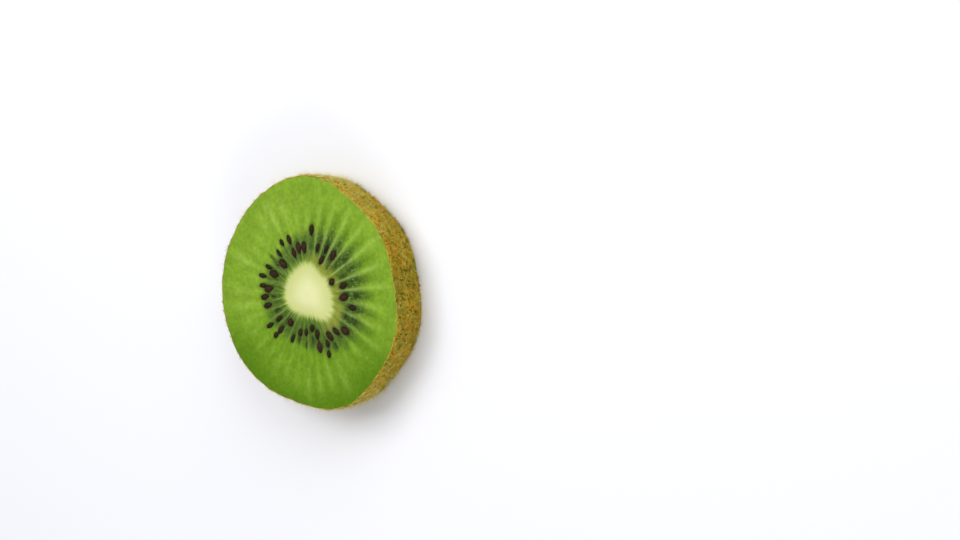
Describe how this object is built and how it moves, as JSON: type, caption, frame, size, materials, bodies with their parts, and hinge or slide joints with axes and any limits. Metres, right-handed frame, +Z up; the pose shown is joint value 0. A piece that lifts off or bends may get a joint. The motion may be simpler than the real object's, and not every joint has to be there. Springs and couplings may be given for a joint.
{
  "type": "kiwi fruit slice",
  "caption": "Thick round cross slice of green kiwi fruit with a pale core, a ring of dark seeds and fuzzy brown skin, lying flat on one cut face.",
  "frame": {"origin": "middle of the slice's footprint, on the lower cut face that it rests on", "axes": "+Z up, along the fruit's own axis, out of the upper cut face; +X and +Y lie in the lower cut face"},
  "size_m": [0.0512, 0.0504, 0.0102],
  "materials": {
    "flesh": "moist translucent green fruit flesh with pale rays, darker seed chambers and a smooth cream core",
    "skin": "thin olive-brown skin, speckled with orange brown and green, covered in short tan hairs",
    "seeds": "finely pitted near-black seeds with a maroon-brown middle and a low gloss"
  },
  "bodies": {
    "root": {"kiwi_slice": "flesh"}
  },
  "joints": []
}
